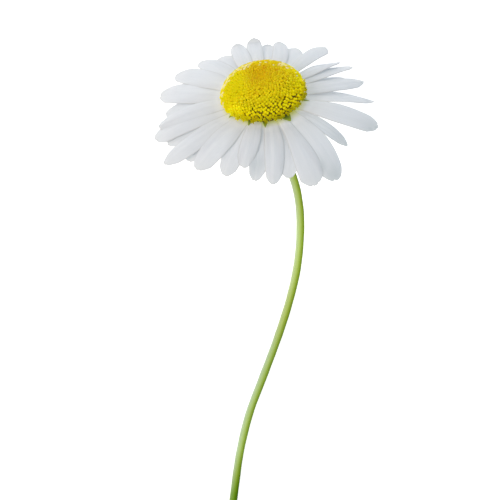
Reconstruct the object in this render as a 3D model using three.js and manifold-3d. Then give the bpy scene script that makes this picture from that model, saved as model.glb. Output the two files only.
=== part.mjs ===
import * as THREE from 'three';
import { ConvexHull } from 'three/addons/math/ConvexHull.js';
import { mergeVertices } from 'three/addons/utils/BufferGeometryUtils.js';
import Module from 'manifold-3d';

const wasm = await Module();
wasm.setup();

// A cut chamomile flower lying on a table: white rays round a domed yellow disc, on a bare green stem.
// Millimetres, +Z up. The table is z = 0, and the head lies towards +Y.

// The head: the middle of the disc's base, how far its axis rises from the table, and its turn towards -X
const HEAD_CENTRE = new THREE.Vector3(3.45, 38.75, 21);
const HEAD_ELEVATION = 46;
const HEAD_TURN = 9;

// The disc: a dome to the tips of its florets, with a shallow dimple a little off its middle
const DISC_RADIUS = 11;
const DISC_HEIGHT = 6.9;
const DIMPLE_MIDDLE = { x: -0.7, y: 1.7 };
const DIMPLE_DEPTH = 0.7;
const DIMPLE_RADIUS = 2.4;
const DISC_FLOOR = { height: 0.35, radius: 10.4, points: 48 };

// The disc's florets, larger than life, on a spiral that is closer set towards the middle
const FLORET_COUNT = 400;
const FLORET_DEPTH = 0.65;
const FLORET_LOWEST = 0.9;
const FLORET_CROWDING = 1.15;
const GOLDEN_ANGLE = Math.PI * (3 - Math.sqrt(5));

// The rays: how each blade leaves the ring under the disc, how it droops at its tip, and how its sides
// come down from its middle line, further on a higher layer
const RAY_THICKNESS = 0.64;
const RAY_ROOT_RADIUS = 8;
const RAY_ROOT_HEIGHT = -1.05;
const RAY_TIER_STEP = 0.34;
const RAY_RISE = 2;
const RAY_RISE_STEP = 0.9;
const RAY_DROOP = -30;
const RAY_ARCH = 0.06;
const RAY_EDGE_DROP = 0.12;
const RAY_ROWS = 8;
const RAY_COLUMNS = 4;

// A ray's outline in shares of its length and width: its root is slimmer the further out its belly lies,
// it is drawn in from its shoulder on, and its tip is rounded with a shallow notch in the middle
const RAY_OUTLINE = { root: 1.06, slimming: 0.8, shoulder: 0.62 };
const RAY_TIP = { middle: 0.97, rounding: 0.12, power: 2.4, notch: 0.05 };

// How softly a blade that meets the table bends up along it
const TABLE_SOFTNESS = 0.6;

// Each ray: azimuth round the disc, length, width, tier (0 for the lowest layer, 2 for a high one), roll
// of its tip about its own length, its tip's sideways sweep in millimetres, its belly (the share of its
// length where it is widest), and how far it narrows from there to its tip
const RAYS = [
  [4.6, 19.0, 5.2, 1.3, -10, 3.3, 0.45, 0.5],
  [12.6, 15.1, 4.2, 0, -14, 2.4, 0.5, 0.5],
  [23.7, 19.7, 4.6, 0.3, -24, 1.8, 0.5, 0.42],
  [31.9, 18.0, 4.2, 0.9, -28, 1.0, 0.5, 0.5],
  [45.4, 20.7, 5.0, 2, 0, 1.9, 0.75, 0.4],
  [57.5, 17.9, 4.8, 0, 0, 3.4, 0.5, 0.3],
  [66.5, 19.2, 4.3, 1, 0, 4.3, 0.5, 0.3],
  [78.5, 19.1, 4.2, 0, 0, 1.9, 0.5, 0.4],
  [90.9, 22.3, 4.1, 1, 0, -0.5, 0.5, 0.35],
  [103.4, 20.5, 4.5, 2, 0, -1.9, 0.5, 0.35],
  [113.1, 18.5, 5.6, 0, 0, -1.0, 0.5, 0.3],
  [124.6, 20.7, 5.7, 1, 6, -1.8, 0.5, 0.32],
  [141.1, 22.3, 6.6, 1.6, 0, -2.5, 0.5, 0.4],
  [158.4, 22.5, 7.5, 0.8, 0, -3.6, 0.5, 0.3],
  [168.3, 18.7, 6.0, 0, 0, -0.6, 0.5, 0.35],
  [179.8, 20.2, 5.8, 2.25, 0, -0.3, 0.5, 0.35],
  [187.6, 21.9, 6.8, 1.15, 0, -1.1, 0.5, 0.3],
  [195.9, 19.2, 5.6, 0.25, 0, -1.3, 0.5, 0.42],
  [208.6, 22.7, 6.0, 0.65, 0, -2.3, 0.5, 0.5],
  [213.7, 17.8, 5.4, 0, 0, -1.3, 0.5, 0.3],
  [225.4, 18.7, 6.8, 1.5, 0, -1.8, 0.5, 0.42],
  [239.5, 17.2, 5.6, 0, 0, -0.4, 0.5, 0.42],
  [250.6, 14.6, 4.8, 2.4, 0, -0.7, 0.5, 0.42],
  [261.1, 17.4, 4.8, 0, 0, -1.7, 0.5, 0.42],
  [273.2, 19.0, 5.0, 1, 0, -2.7, 0.5, 0.42],
  [282.9, 17.7, 5.6, 0, 0, -2.7, 0.6, 0.42],
  [291.0, 22.7, 6.6, 2, 0, -1.9, 0.85, 0.3],
  [303.9, 23.5, 7.0, 1, 0, -3.2, 0.5, 0.3],
  [319.4, 17.6, 3.9, 0, -14, -0.7, 0.4, 0.5],
  [334.2, 22.0, 6.5, 1, 0, 1.6, 0.6, 0.35],
  [352.9, 20.2, 4.9, 0, -26, 1.7, 0.5, 0.5],
];

// The ring that the rays grow from
const COLLAR = { inner: 6.4, outer: 9.4, bottom: -1.9, top: -0.2, sides: 30 };
const COLLAR_BEVEL = { width: 1, height: 0.6 };

// The involucre: a saucer under the rays with rows of overlapping bracts
const CUP_RADIUS = 9.5;
const CUP_NECK = 1.5;
const CUP_TOP = -2.2;
const CUP_RIM = -2.7;
const CUP_BOTTOM = -6.2;
const CUP_LIP = 0.5;
const CUP_SIDES = 20;
const CUP_STEPS = 5;
const BRACT_THICKNESS = 0.62;
const BRACT_POINT = 0.3;
const BRACT_LIFT = { root: 0.05, tip: 0.35 };
const BRACT_GRID = { rows: 3, columns: 2 };
const BRACT_ROWS = [
  { count: 10, from: 0.12, to: 0.62, width: 2.9 },
  { count: 12, from: 0.34, to: 0.84, width: 3.4 },
  { count: 14, from: 0.56, to: 1.0, width: 3.6 },
];

// The stem: the route of its underside from the head down to the table and along it, then its section
const STEM_ROUTE = [
  [11.0, 18.7, 9.0],
  [12.7, 11.6, 5.9],
  [13.0, 3.9, 3.3],
  [12.2, -4.7, 1.5],
  [10.1, -13.8, 0.4],
  [7.0, -23.4, 0],
  [3.3, -33.3, 0],
  [-0.1, -42.4, 0],
  [-2.5, -52.1, 0],
  [-4.0, -62.5, 0],
  [-5.2, -72.9, 0],
  [-6.0, -80.7, 0],
];
const STEM_RADIUS = 1.0;
const STEM_FLARE = 0.35;
const STEM_FLARE_LENGTH = 3;
const STEM_SIDES = 10;
const STEM_STEPS = 40;
const STEM_CUT_SLANT = 35;
const STEM_NECK = 4;
const SEAT_GAP = 0.3;

const MERGE_TOLERANCE = 1e-4;

const rad = THREE.MathUtils.degToRad;
const smooth = (x) => THREE.MathUtils.smoothstep(x, 0, 1);

// The head's own frame: its axis is +Z there, and azimuths run anticlockwise from +X
const headTurn = new THREE.Euler(rad(HEAD_ELEVATION - 90), 0, rad(HEAD_TURN), 'ZXY');
const headMatrix = new THREE.Matrix4().makeRotationFromEuler(headTurn).setPosition(HEAD_CENTRE);

// A closed geometry as a solid that can be joined to others
function toSolid(geometry) {
  const bare = geometry.clone();
  bare.deleteAttribute('normal');
  bare.deleteAttribute('uv');
  const merged = mergeVertices(bare, MERGE_TOLERANCE);
  return new wasm.Manifold(new wasm.Mesh({
    numProp: 3,
    vertProperties: new Float32Array(merged.attributes.position.array),
    triVerts: new Uint32Array(merged.index.array),
  }));
}

// Joins overlapping closed geometries, and keeps the one body that holds together
function fuse(geometries) {
  let solids = geometries.map(toSolid);
  while (solids.length > 1) {
    const joined = [];
    for (let i = 0; i < solids.length; i += 2) {
      joined.push(i + 1 < solids.length ? solids[i].add(solids[i + 1]) : solids[i]);
    }
    solids = joined;
  }
  const bodies = solids[0].decompose();
  const main = bodies.reduce((best, body) => (body.volume() > best.volume() ? body : best));
  const mesh = main.getMesh();
  const geometry = new THREE.BufferGeometry();
  geometry.setAttribute('position', new THREE.BufferAttribute(new Float32Array(mesh.vertProperties), 3));
  geometry.setIndex(new THREE.BufferAttribute(new Uint32Array(mesh.triVerts), 1));
  geometry.computeVertexNormals();
  return geometry;
}

function indexedGeometry(points, triangles) {
  const geometry = new THREE.BufferGeometry().setFromPoints(points);
  geometry.setIndex(triangles);
  geometry.computeVertexNormals();
  return geometry;
}

// A closed blade of even thickness over the surface that point(s, t) gives, with s from 0 to 1 along it
// and t from -1 to 1 across it. Both faces are split into triangles alike.
function bladeGeometry(point, rows, columns, thickness) {
  const nudge = 1e-3;
  const upper = [];
  const lower = [];
  for (let i = 0; i <= rows; i++) {
    for (let j = 0; j <= columns; j++) {
      const s = i / rows;
      const t = 2 * j / columns - 1;
      const along = point(s + nudge, t).sub(point(s - nudge, t));
      const across = point(s, t + nudge).sub(point(s, t - nudge));
      const offset = along.cross(across).setLength(thickness / 2);
      upper.push(point(s, t).add(offset));
      lower.push(point(s, t).sub(offset));
    }
  }
  const at = (i, j) => i * (columns + 1) + j;
  const below = upper.length;
  const triangles = [];
  for (let i = 0; i < rows; i++) {
    for (let j = 0; j < columns; j++) {
      const [a, b, c, d] = [at(i, j), at(i + 1, j), at(i + 1, j + 1), at(i, j + 1)];
      triangles.push(a, b, c, a, c, d);
      triangles.push(below + a, below + c, below + b, below + a, below + d, below + c);
    }
  }
  const rim = [];
  for (let i = 0; i < rows; i++) rim.push(at(i, 0));
  for (let j = 0; j < columns; j++) rim.push(at(rows, j));
  for (let i = rows; i > 0; i--) rim.push(at(i, columns));
  for (let j = columns; j > 0; j--) rim.push(at(0, j));
  rim.forEach((p, k) => {
    const q = rim[(k + 1) % rim.length];
    triangles.push(below + p, below + q, q, below + p, q, p);
  });
  return indexedGeometry([...upper, ...lower], triangles);
}

// The disc: a point of the dome in a direction from the middle of its base, dimple included
function domePoint(direction) {
  const point = direction.clone().multiply(new THREE.Vector3(DISC_RADIUS, DISC_RADIUS, DISC_HEIGHT));
  const radius = Math.hypot(point.x - DIMPLE_MIDDLE.x, point.y - DIMPLE_MIDDLE.y);
  point.z -= DIMPLE_DEPTH * Math.exp(-((radius / DIMPLE_RADIUS) ** 2));
  return point;
}

// The directions of the florets' tips, on half a unit sphere
function spiralDirections() {
  const lowest = FLORET_LOWEST / DISC_HEIGHT;
  return Array.from({ length: FLORET_COUNT }, (_, k) => {
    const share = ((k + 0.5) / FLORET_COUNT) ** FLORET_CROWDING;
    const z = 1 - (1 - lowest) * share;
    const radius = Math.sqrt(1 - z * z);
    const angle = k * GOLDEN_ANGLE;
    return new THREE.Vector3(radius * Math.cos(angle), radius * Math.sin(angle), z);
  });
}

// Every floret is a pyramid: its tip on the dome, and the valleys in the middle of each three neighbours.
// The hull of the tips' directions says which florets are neighbours.
function discGeometry() {
  const floor = Array.from({ length: DISC_FLOOR.points }, (_, k) => {
    const angle = 2 * Math.PI * k / DISC_FLOOR.points;
    return new THREE.Vector3(Math.cos(angle), Math.sin(angle), 0);
  });
  const directions = [...spiralDirections(), ...floor];
  const points = directions.map((direction) => (floor.includes(direction)
    ? direction.clone().multiplyScalar(DISC_FLOOR.radius).setZ(DISC_FLOOR.height)
    : domePoint(direction)));
  const order = new Map(directions.map((direction, index) => [direction, index]));
  const corner = (edge) => order.get(edge.head().point);
  const isFloor = (face) => [0, 1, 2].every((k) => corner(face.getEdge(k)) >= FLORET_COUNT);

  const { faces } = new ConvexHull().setFromPoints(directions);
  const valleys = new Map();
  for (const face of faces.filter((one) => !isFloor(one))) {
    const corners = [0, 1, 2].map((k) => points[corner(face.getEdge(k))]);
    const middle = corners.reduce((sum, one) => sum.add(one), new THREE.Vector3()).divideScalar(3);
    const [a, b, c] = corners;
    const outward = b.clone().sub(a).cross(c.clone().sub(a)).normalize();
    valleys.set(face, points.length);
    points.push(middle.addScaledVector(outward, -FLORET_DEPTH));
  }
  const triangles = [];
  for (const face of faces) {
    const edges = [0, 1, 2].map((k) => face.getEdge(k));
    if (!valleys.has(face)) {
      triangles.push(...edges.map(corner));
      continue;
    }
    for (const edge of edges) {
      const tail = corner(edge.prev);
      const across = valleys.get(edge.twin.face) ?? corner(edge);
      triangles.push(tail, across, valleys.get(face));
    }
  }
  return indexedGeometry(points, triangles);
}

// The rays: a blade bends up along the table where it would pass through it
function bendUp(point) {
  const skin = RAY_THICKNESS / 2;
  const clear = point.z - skin;
  point.z = skin + (clear + Math.hypot(clear, TABLE_SOFTNESS)) / 2;
  return point;
}

// A ray's width at a share u of its length, as a share of its full width
function rayOutline(u, belly, taper) {
  const shoulder = Math.max(RAY_OUTLINE.shoulder, belly);
  const root = RAY_OUTLINE.root - RAY_OUTLINE.slimming * belly;
  const drawnIn = taper * Math.max(0, (u - shoulder) / (1 - shoulder)) ** 2;
  return (root + (1 - root) * smooth(u / belly)) * (1 - drawnIn);
}

// How far a ray reaches at a share t of its half width, as a share of its length
function rayReach(t) {
  const { middle, rounding, power, notch } = RAY_TIP;
  return middle - rounding * t ** power + notch * Math.sin(Math.PI * t);
}

// The middle surface of one ray, in the table's frame
function raySurface([azimuth, length, width, tier, roll, sweep, belly, taper]) {
  const rise = RAY_RISE + RAY_RISE_STEP * (tier - 1);
  const outward = new THREE.Vector3(Math.cos(rad(azimuth)), Math.sin(rad(azimuth)), 0);
  const sideways = new THREE.Vector3(-outward.y, outward.x, 0);
  const up = new THREE.Vector3(0, 0, 1);
  const bend = rad(RAY_DROOP - rise);
  return (s, t) => {
    const u = s * rayReach(Math.abs(t));
    const slope = rad(rise) + bend * u;
    const reach = length * (Math.sin(slope) - Math.sin(rad(rise))) / bend;
    const drop = length * (Math.cos(rad(rise)) - Math.cos(slope)) / bend;
    const half = width / 2 * rayOutline(u, belly, taper);
    const arch = (RAY_ARCH * width * u + RAY_EDGE_DROP * tier) * t * t;
    const normal = up.clone().multiplyScalar(Math.cos(slope)).addScaledVector(outward, -Math.sin(slope));
    const point = outward.clone().multiplyScalar(RAY_ROOT_RADIUS + reach);
    point.z = RAY_ROOT_HEIGHT + RAY_TIER_STEP * (tier - 1) + drop;
    point.addScaledVector(sideways, sweep * u * u + t * half * Math.cos(rad(roll) * u));
    point.addScaledVector(normal, t * half * Math.sin(rad(roll) * u) - arch);
    return bendUp(point.applyMatrix4(headMatrix));
  };
}

// The ring is a lathe round the head's axis, closed on itself
function collarGeometry() {
  const { inner, outer, bottom, top, sides } = COLLAR;
  const bevel = [[outer, top - COLLAR_BEVEL.height], [outer - COLLAR_BEVEL.width, top]];
  const corners = [[inner, bottom], [outer, bottom], ...bevel, [inner, top]];
  const profile = [...corners, corners[0]].map(([r, z]) => new THREE.Vector2(r, z));
  return new THREE.LatheGeometry(profile, sides).rotateX(Math.PI / 2).applyMatrix4(headMatrix);
}

function raysGeometry() {
  const blades = RAYS.map((ray) => bladeGeometry(raySurface(ray), RAY_ROWS, RAY_COLUMNS, RAY_THICKNESS));
  const geometry = fuse([collarGeometry(), ...blades]);
  // The lowest tips touch the table
  geometry.computeBoundingBox();
  return geometry.translate(0, 0, -geometry.boundingBox.min.z);
}

// The involucre: a point of the saucer's outer face at a share v of the way from its neck (0) to its rim (1)
function cupPoint(v, azimuth, lift) {
  const angle = v * Math.PI / 2;
  const spread = CUP_RADIUS - CUP_NECK;
  const depth = CUP_RIM - CUP_BOTTOM;
  const radius = CUP_NECK + spread * Math.sin(angle);
  const height = CUP_RIM - depth * Math.cos(angle);
  const normal = new THREE.Vector2(depth * Math.sin(angle), -spread * Math.cos(angle)).setLength(lift);
  const r = radius + normal.x;
  return new THREE.Vector3(r * Math.cos(azimuth), r * Math.sin(azimuth), height + normal.y);
}

function cupGeometry() {
  const profile = [new THREE.Vector2(0, CUP_BOTTOM)];
  for (let i = 0; i <= CUP_STEPS; i++) {
    const point = cupPoint(i / CUP_STEPS, 0, 0);
    profile.push(new THREE.Vector2(point.x, point.z));
  }
  profile.push(new THREE.Vector2(CUP_RADIUS - CUP_LIP, CUP_TOP), new THREE.Vector2(0, CUP_TOP));
  return new THREE.LatheGeometry(profile, CUP_SIDES).rotateX(Math.PI / 2);
}

// The middle surface of one bract: sunk at its root, standing off the saucer at its pointed tip
function bractSurface(azimuth, { from, to, width }) {
  return (s, t) => {
    const u = s * (1 - BRACT_POINT * t * t);
    const v = from + (to - from) * u;
    const radius = cupPoint(v, 0, 0).x;
    const half = width / 2 * (0.8 + 0.5 * u - 0.8 * u * u);
    const lift = THREE.MathUtils.lerp(BRACT_LIFT.root, BRACT_LIFT.tip, u);
    return cupPoint(v, azimuth + t * half / radius, lift);
  };
}

function involucreGeometry() {
  const pieces = [cupGeometry()];
  BRACT_ROWS.forEach((row, index) => {
    for (let k = 0; k < row.count; k++) {
      const azimuth = 2 * Math.PI * (k + 0.5 * index) / row.count;
      const { rows, columns } = BRACT_GRID;
      pieces.push(bladeGeometry(bractSurface(azimuth, row), rows, columns, BRACT_THICKNESS));
    }
  });
  return fuse(pieces);
}

// The stem's middle line: out of the involucre along the head's axis, then down to the table
function stemCurve(apothem) {
  const top = new THREE.Vector3(0, 0, CUP_BOTTOM - SEAT_GAP).applyMatrix4(headMatrix);
  const below = new THREE.Vector3(0, 0, CUP_BOTTOM - SEAT_GAP - STEM_NECK).applyMatrix4(headMatrix);
  const route = STEM_ROUTE.map(([x, y, z]) => new THREE.Vector3(x, y, z + apothem));
  return new THREE.CatmullRomCurve3([top, below, ...route], false, 'centripetal');
}

// A section with one flat side underneath is swept along the stem, so the stem lies on a flat strip
function stemGeometry() {
  const apothem = STEM_RADIUS * Math.cos(Math.PI / STEM_SIDES);
  const curve = stemCurve(apothem);
  const length = curve.getLength();
  const points = [];
  for (let i = 0; i <= STEM_STEPS; i++) {
    const share = i / STEM_STEPS;
    const middle = curve.getPointAt(share);
    const ahead = curve.getTangentAt(share);
    const side = new THREE.Vector3(0, 0, 1).cross(ahead).normalize();
    const up = ahead.clone().cross(side);
    const radius = STEM_RADIUS * (1 + STEM_FLARE * Math.exp(-share * length / STEM_FLARE_LENGTH));
    middle.z = Math.max(middle.z, apothem);
    const slant = i === STEM_STEPS ? Math.tan(rad(STEM_CUT_SLANT)) : 0;
    for (let k = 0; k < STEM_SIDES; k++) {
      const angle = 2 * Math.PI * (k + 0.5) / STEM_SIDES - Math.PI / 2;
      const [x, y] = [radius * Math.cos(angle), radius * Math.sin(angle)];
      const point = middle.clone().addScaledVector(side, x).addScaledVector(up, y);
      points.push(point.addScaledVector(ahead, -slant * y));
    }
  }
  const triangles = [];
  for (let i = 0; i < STEM_STEPS; i++) {
    for (let k = 0; k < STEM_SIDES; k++) {
      const next = (k + 1) % STEM_SIDES;
      const [a, b] = [i * STEM_SIDES + k, i * STEM_SIDES + next];
      triangles.push(a, b, b + STEM_SIDES, a, b + STEM_SIDES, a + STEM_SIDES);
    }
  }
  const last = STEM_STEPS * STEM_SIDES;
  for (let k = 1; k < STEM_SIDES - 1; k++) {
    triangles.push(0, k + 1, k);
    triangles.push(last, last + k, last + k + 1);
  }
  return indexedGeometry(points, triangles);
}

// The scene graph

const white = new THREE.MeshStandardMaterial({ color: 0xe4e8ec, roughness: 0.6, metalness: 0 });
const yellow = new THREE.MeshStandardMaterial({ color: 0xd9b40c, roughness: 0.8, metalness: 0 });
const leafGreen = new THREE.MeshStandardMaterial({ color: 0x6f8a3c, roughness: 0.7, metalness: 0 });
const stemGreen = new THREE.MeshStandardMaterial({ color: 0x9db35a, roughness: 0.6, metalness: 0 });

function namedMesh(name, geometry, material) {
  const mesh = new THREE.Mesh(geometry, material);
  mesh.name = name;
  return mesh;
}

const head = new THREE.Group();
head.position.copy(HEAD_CENTRE);
head.rotation.copy(headTurn);
head.add(namedMesh('disc_florets', discGeometry(), yellow));
head.add(namedMesh('involucre', involucreGeometry(), leafGreen));

const plant = new THREE.Group();
plant.add(head);
plant.add(namedMesh('ray_florets', raysGeometry(), white));
plant.add(namedMesh('stem', stemGeometry(), stemGreen));

// The origin is on the table, under the middle of the flower's bounding box
const box = new THREE.Box3().setFromObject(plant, true);
const middle = box.getCenter(new THREE.Vector3());
plant.position.set(-middle.x, -middle.y, -box.min.z);

const flower = new THREE.Group();
flower.add(plant);

export default flower;
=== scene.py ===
"""The looks of a cut daisy-like flower that lies on a table: rays, disc florets, involucre and stem.

Shapes are worked out in millimetres in the CAD frame and turned into metres when a mesh is made.
"""

import math

import bpy
import numpy as np
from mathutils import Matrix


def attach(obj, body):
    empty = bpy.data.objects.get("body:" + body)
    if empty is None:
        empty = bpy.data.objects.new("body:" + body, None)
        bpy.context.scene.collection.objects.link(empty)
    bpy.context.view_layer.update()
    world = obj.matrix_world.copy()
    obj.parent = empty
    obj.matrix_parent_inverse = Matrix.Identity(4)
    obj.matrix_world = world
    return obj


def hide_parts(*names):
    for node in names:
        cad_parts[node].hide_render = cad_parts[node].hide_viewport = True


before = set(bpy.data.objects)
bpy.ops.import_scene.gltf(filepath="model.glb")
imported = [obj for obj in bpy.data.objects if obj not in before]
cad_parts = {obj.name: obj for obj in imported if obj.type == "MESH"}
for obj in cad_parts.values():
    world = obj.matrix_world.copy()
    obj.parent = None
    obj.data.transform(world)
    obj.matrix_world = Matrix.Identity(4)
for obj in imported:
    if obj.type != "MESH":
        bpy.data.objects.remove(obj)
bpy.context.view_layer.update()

MM = 0.001

# The plant group's place in the CAD frame, and the head: the middle of the disc's base, how far its
# axis rises from the table, and its turn towards -X
PLANT = np.array([-3.9398, 13.068, 0.0])
HEAD_CENTRE = np.array([3.45, 38.75, 21.0]) + PLANT
HEAD_ELEVATION = 46
HEAD_TURN = 9

# The dome of the disc to the tips of its florets, and the dimple in its middle
DISC_RADIUS = 11.0
DISC_HEIGHT = 6.9
DIMPLE_PLACE = np.array([-0.7, 1.7])
DIMPLE_DEPTH = 0.8
DIMPLE_RADIUS = 2.4

# The florets on their spiral: how many, how high the lowest one is, how they crowd in the middle, the
# turn from one to the next, their lobes, the share of the spiral from which they part, and how loosely
# those stand that spread their lobes
FLORET_COUNT = 980
FLORET_LOWEST = 0.9
FLORET_CROWDING = 1.68
GOLDEN_ANGLE = math.pi * (3 - math.sqrt(5))
FLORET_LOBES = 5
OPEN_FROM = 0.2
SPREAD_FROM = 0.3
# A floret's length in the middle, what is added to it outwards, and by which share of the spiral
FLORET_LENGTH = 0.7
FLORET_LENGTHENING = 0.85
FLORET_FULL_SHARE = 0.6
# How far florets turn up from the dome, how many neighbours give their spacing, and their tip's height
FLORET_UPTURN = 0.15
FLORET_NEIGHBOURS = 6
FLORET_TIP_SHARE = 0.4
# Pairs of the value where florets stand close and what is added to it where they stand loose: how far
# they lean, their width over their spacing, how deep they may sink, and how light their tips are and how
# dark the painted shade at their feet is
FLORET_LEAN = (0.06, 0.10)
FLORET_WIDTH = (1.4, -0.62)
FLORET_SINK = (-0.1, -0.3)
FLORET_TOP = (0.92, 0.08)
FLORET_FOOT_SHADE = (0.3, 0.7)
# How unevenly they grow: the spread of their widths, of their places, and how far one stands out
FLORET_WIDTHS = (0.9, 1.08)
FLORET_JITTER = 0.1
FLORET_OUT = 0.04
# The direction from which each floret's own sides are worked out
FLORET_SIDE_GUIDE = (0.31, 0.77, 0.55)
# Where florets stand loose: the azimuth of the side that opened first, the level a quarter round from
# it and how much that changes, and the radius where they begin
LOOSE_AZIMUTH = 297
LOOSE_LEVEL = 0.27
LOOSE_SWING = 0.8
LOOSE_FROM = 3.9
LOOSE_BLEND = 6.2

# The side of the disc where its yellow is greener, and where that ends towards the stem
LEMON_EDGE = -1.5
LEMON_BLEND = 4.5
LEMON_END = -2.8
LEMON_END_BLEND = 3.2
# The shaded rim under the florets that stand loose
UNDER_FROM = 9.8
UNDER_BLEND = 1.1
# The share of pale tips by azimuth, highest on the side towards the light where they are also painted
# highlights, the levels of the dome's slope between which they stand, how strongly they are dusted, and
# where on a floret that begins
PALE_CHANCES = (
    [0, 30, 60, 95, 110, 150, 190, 206, 350, 360],
    [0.35, 0.35, 0.16, 0.3, 0.4, 0.7, 0.65, 0, 0, 0.35],
)
PALE_LEVELS = (0.14, 0.56)
PALE_BLEND = 0.1
PALE_STRENGTHS = (0.4, 1.0)
POLLEN_FROM = 0.92
POLLEN_BLEND = 0.08
# Small stains on the dome, in the head's frame, and how far each of them reaches
SPECKS = [(-1.5, -0.25, 0.45), (4.2, 1.8, 0.5), (-2.3, -0.9, 0.4), (1.2, 3.6, 0.7)]
SPECK_STRENGTH = 0.8

# The ground under the florets: its depth below their tips, its foot as (share of its radius, height),
# how far its dome is lifted, how many rings it has, and the small radius of its topmost one
CORE_DEPTH = 1.25
CORE_FOOT = [(0.9, -0.9), (0.97, 0.0)]
CORE_LIFT = 0.15
CORE_STEPS = 24
CORE_CROWN = 0.001
# Lathed forms: how many sides they have, and the small radius that stands for their axis
LATHE_SIDES = 72
AXIS_RADIUS = 0.01

# The rays: how each blade leaves the ring under the disc, how it droops at its tip, from where it may
# narrow, how wide its root is, and how it arches
RAY_ROOT_RADIUS = 8.0
RAY_ROOT_HEIGHT = -1.05
RAY_TIER_STEP = 0.34
RAY_RISE = 2.0
RAY_RISE_STEP = 0.9
RAY_DROOP = -30.0
RAY_SHOULDER = 0.62
RAY_ROOT_SHARE = 1.06
RAY_ROOT_SLIMMING = 0.8
RAY_ARCH = 0.06
RAY_EDGE_DROP = 0.12
# A blade's grid, how its rows crowd towards the tip, and how softly it bends up along the table
RAY_GRID = (44, 36)
RAY_TIP_CROWDING = 1.4
TABLE_SOFTNESS = 0.6
# A blade's thickness, which falls off to its edge and swells at its root
RAY_THICKNESS = 0.25
RAY_THINNING = 0.6
RAY_THINNING_POWER = 8
RAY_SWELL = 0.8
RAY_SWELL_REACH = 0.12

# A blade's tip: its rounding, how far it leans, and the notches that part it into teeth
TIP_ROUNDING = 0.115
TIP_POWER = 3.0
TIP_LEAN = 0.018
NOTCH_DEPTH = 0.022
NOTCH_WIDTH = 0.09
# A blade's folds across its width, how far they stray, their depths and their width
FOLD_PLACES = (-0.33, 0.33)
FOLD_STRAY = 0.06
FOLD_DEPTHS = (0.04, 0.11)
FOLD_WIDTH = 0.2
# Folds reach full depth at a share of its length and fade towards its tip
FOLD_FULL = 0.3
FOLD_FADE = 0.5
FOLD_FADE_FROM = 0.8
# How its arch varies, the waves along its edges, and how its tip is lifted
ARCH_SPREAD = (-0.025, 0.02)
WAVE_COUNTS = (0.9, 1.7)
WAVE_HEIGHTS = (0.05, 0.16)
WAVE_FULL = 0.5
TIP_LIFTS = (-0.25, 0.1)
TIP_LIFT_FROM = 0.75

# Each ray: azimuth round the disc, length, width, tier (0 for the lowest layer, 2 for a high one), roll
# of its tip about its own length, its tip's sideways sweep, the share of its length where it is
# widest, and how far it narrows from there to its tip
RAYS = [
    (4.6, 19.0, 5.2, 1.3, -10, 3.3, 0.45, 0.5),
    (12.6, 15.1, 4.2, 0, -14, 2.4, 0.5, 0.5),
    (23.7, 19.7, 4.6, 0.3, -24, 1.8, 0.5, 0.42),
    (31.9, 18.0, 4.2, 0.9, -28, 1.0, 0.5, 0.5),
    (45.4, 20.7, 5.0, 2, 0, 1.9, 0.75, 0.4),
    (57.5, 17.9, 4.8, 0, 0, 3.4, 0.5, 0.3),
    (66.5, 19.2, 4.3, 1, 0, 4.3, 0.5, 0.3),
    (78.5, 19.1, 4.2, 0, 0, 1.9, 0.5, 0.4),
    (90.9, 22.3, 4.1, 1, 0, -0.5, 0.5, 0.35),
    (103.4, 20.5, 4.5, 2, 0, -1.9, 0.5, 0.35),
    (113.1, 18.5, 5.6, 0, 0, -1.0, 0.5, 0.3),
    (124.6, 20.7, 5.7, 1, 6, -1.8, 0.5, 0.32),
    (141.1, 22.3, 6.6, 1.6, 0, -2.5, 0.5, 0.4),
    (158.4, 22.5, 7.5, 0.8, 0, -3.6, 0.5, 0.3),
    (168.3, 18.7, 6.0, 0, 0, -0.6, 0.5, 0.35),
    (179.8, 20.2, 5.8, 2.25, 0, -0.3, 0.5, 0.35),
    (187.6, 21.9, 6.8, 1.15, 0, -1.1, 0.5, 0.3),
    (195.9, 19.2, 5.6, 0.25, 0, -1.3, 0.5, 0.42),
    (208.6, 22.7, 6.0, 0.65, 0, -2.3, 0.5, 0.5),
    (213.7, 17.8, 5.4, 0, 0, -1.3, 0.5, 0.3),
    (225.4, 18.7, 6.8, 1.5, 0, -1.8, 0.5, 0.42),
    (239.5, 17.2, 5.6, 0.7, 0, -0.4, 0.5, 0.42),
    (250.6, 14.6, 4.8, 2.4, 0, -0.7, 0.5, 0.42),
    (261.1, 17.4, 4.8, 0, 0, -1.7, 0.5, 0.42),
    (273.2, 19.0, 5.0, 1, 0, -2.7, 0.5, 0.42),
    (282.9, 17.7, 5.6, 0, 0, -2.7, 0.6, 0.42),
    (291.0, 22.7, 6.6, 2, 0, -1.9, 0.85, 0.3),
    (303.9, 23.5, 7.0, 1, 0, -3.2, 0.5, 0.3),
    (319.4, 17.6, 3.9, 0, -14, -0.7, 0.4, 0.5),
    (334.2, 22.0, 6.5, 1, 0, 1.6, 0.6, 0.35),
    (352.9, 20.2, 4.9, 0, -26, 1.7, 0.5, 0.5),
]

# Darker spots near the tips of some rays: which ray, its share along and across, its reach, its strength.
# The broad spots on rays 23 and 27 are painted shadow, cast on them by the rays that lie over them.
STAINS_AND_SHADOWS = [
    (0, 0.96, -0.2, 0.7, 0.5),
    (27, 0.97, -0.2, 3.4, 0.6),
    (27, 0.78, -0.9, 2.6, 0.6),
    (27, 0.96, 0.0, 1.2, 0.7),
    (28, 0.90, 0.0, 3.8, 0.4),
    (28, 0.97, 0.0, 0.9, 0.7),
    (29, 0.95, -0.2, 3.2, 0.35),
    (29, 0.93, -0.6, 0.9, 0.6),
    (29, 0.98, -0.2, 0.7, 0.8),
    (30, 0.91, -0.25, 0.7, 0.5),
    (23, 0.75, -0.5, 3.0, 0.5),
]

# The involucre: a saucer under the rays with rows of overlapping bracts
CUP_RADIUS = 9.5
CUP_NECK = 1.5
CUP_TOP = -2.2
CUP_RIM = -2.7
CUP_BOTTOM = -6.2
CUP_STEPS = 20
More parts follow.
